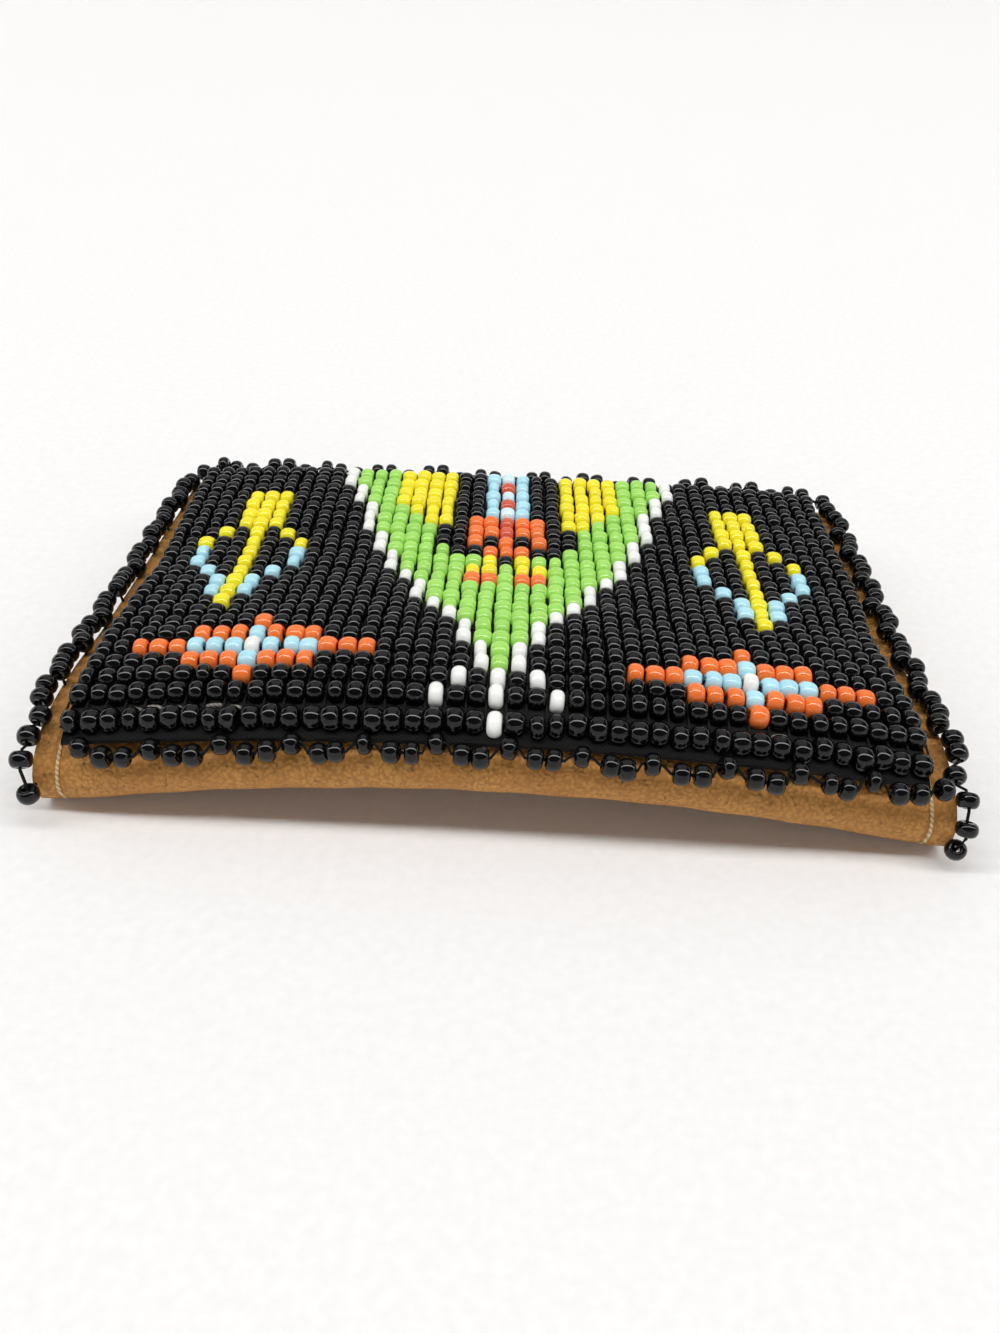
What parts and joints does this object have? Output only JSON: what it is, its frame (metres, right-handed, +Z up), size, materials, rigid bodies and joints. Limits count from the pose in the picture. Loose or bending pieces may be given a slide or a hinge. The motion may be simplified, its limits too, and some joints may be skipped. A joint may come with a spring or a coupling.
{
  "type": "beaded coin purse",
  "caption": "Small folded leather coin purse with a zip at its mouth, a woven panel of glass seed beads over its front and a picot bead edging all round.",
  "frame": {"origin": "bottom centre of the whole purse as it lies on its back", "axes": "+X along the purse's width, to the closed end of the zip; +Y from the fold to the mouth; +Z up, out of the beaded face"},
  "size_m": [0.096, 0.0646, 0.014],
  "materials": {
    "leather": "tan pebbled leather, matt",
    "beads": "opaque glossy glass; mostly black, with green, white, yellow, orange, red and light blue beads",
    "thread": "waxed cream thread",
    "zip_tape": "woven tape with moulded teeth",
    "zip_metal": "plated zip hardware"
  },
  "bodies": {
    "purse": {"leather_body": "leather", "beaded_panel": "beads", "front_edging": "beads", "back_edging": "beads", "left_edging": "beads", "right_edging": "beads", "left_seam_thread": "thread", "right_seam_thread": "thread", "upper_zip_thread": "thread", "lower_zip_thread": "thread", "upper_zip_tape": "zip_tape", "lower_zip_tape": "zip_tape", "upper_top_stop": "zip_metal", "lower_top_stop": "zip_metal", "bottom_stop": "zip_metal"},
    "slider": {"zip_slider": "zip_metal"},
    "pull": {"pull_tab": "zip_metal"}
  },
  "joints": [
    {"name": "zip_slide", "type": "slide", "parent": "purse", "child": "slider", "axis": [-1, 0, 0], "range_m": [0, 0.0512]},
    {"name": "pull_hinge", "type": "hinge", "parent": "slider", "child": "pull", "pos_m": [0.02657, 0.03109, 0.0044], "axis": [0, 0, -1], "range_deg": [0, 180]}
  ]
}
